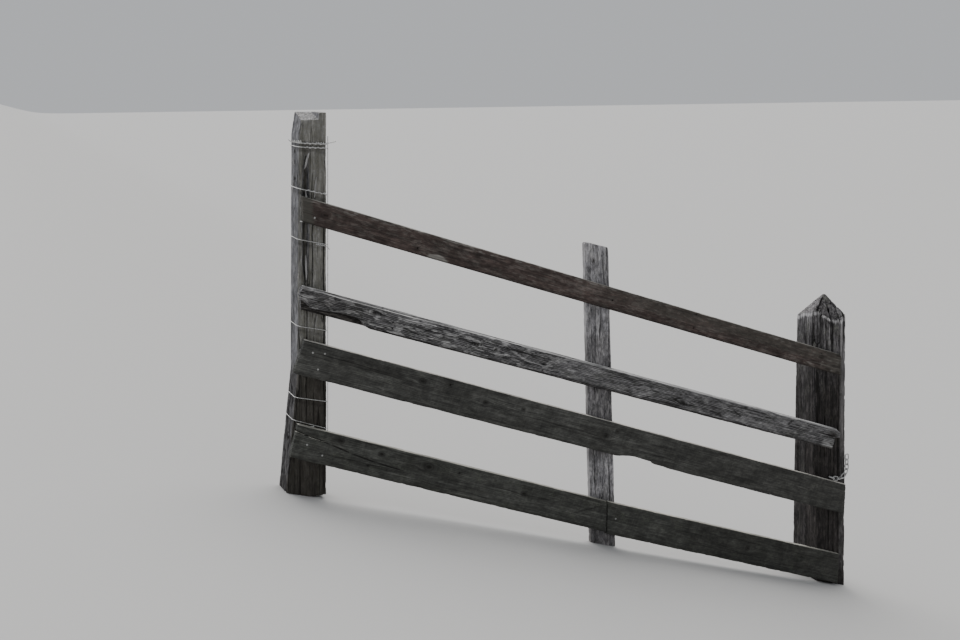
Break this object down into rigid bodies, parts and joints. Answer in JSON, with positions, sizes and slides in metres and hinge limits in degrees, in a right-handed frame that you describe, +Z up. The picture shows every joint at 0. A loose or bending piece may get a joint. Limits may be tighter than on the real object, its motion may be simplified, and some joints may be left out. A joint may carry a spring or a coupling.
{
  "type": "wooden post and rail fence panel",
  "caption": "Sloping panel of weathered rails nailed to two posts and a slat, with netting wire ends on one post and a short chain on the other.",
  "frame": {"origin": "middle of the right post's foot, on the flat face that stands on the ground", "axes": "+X along the panel from the left post to the right post, +Y through the panel away from the side that the rails are nailed to, +Z up"},
  "size_m": [2.4005, 0.208, 2.0252],
  "materials": {
    "gate_post_wood": "bare, deeply weathered and checked",
    "netting_post_wood": "bare, silver-grey and split",
    "slat_wood": "bare, light grey",
    "top_rail_wood": "old stain, worn reddish brown",
    "second_rail_wood": "bare, silver-grey and flaking",
    "third_rail_wood": "bare, grey sawn face",
    "bottom_rail_wood": "bare, grey-green sawn face",
    "galvanised_wire": "dull weathered zinc",
    "chain_steel": "bright zinc"
  },
  "bodies": {
    "root": {"right_post": "gate_post_wood", "left_post": "netting_post_wood", "middle_slat": "slat_wood", "top_rail": "top_rail_wood", "second_rail": "second_rail_wood", "third_rail": "third_rail_wood", "bottom_rail_left": "bottom_rail_wood", "bottom_rail_right": "bottom_rail_wood", "top_strand_upper": "galvanised_wire", "top_strand_lower": "galvanised_wire", "tie_wire": "galvanised_wire", "line_wire_upper": "galvanised_wire", "line_wire_middle": "galvanised_wire", "line_wire_lower": "galvanised_wire", "line_wire_foot": "galvanised_wire", "stay_wire": "galvanised_wire", "gate_chain": "chain_steel"}
  },
  "joints": []
}
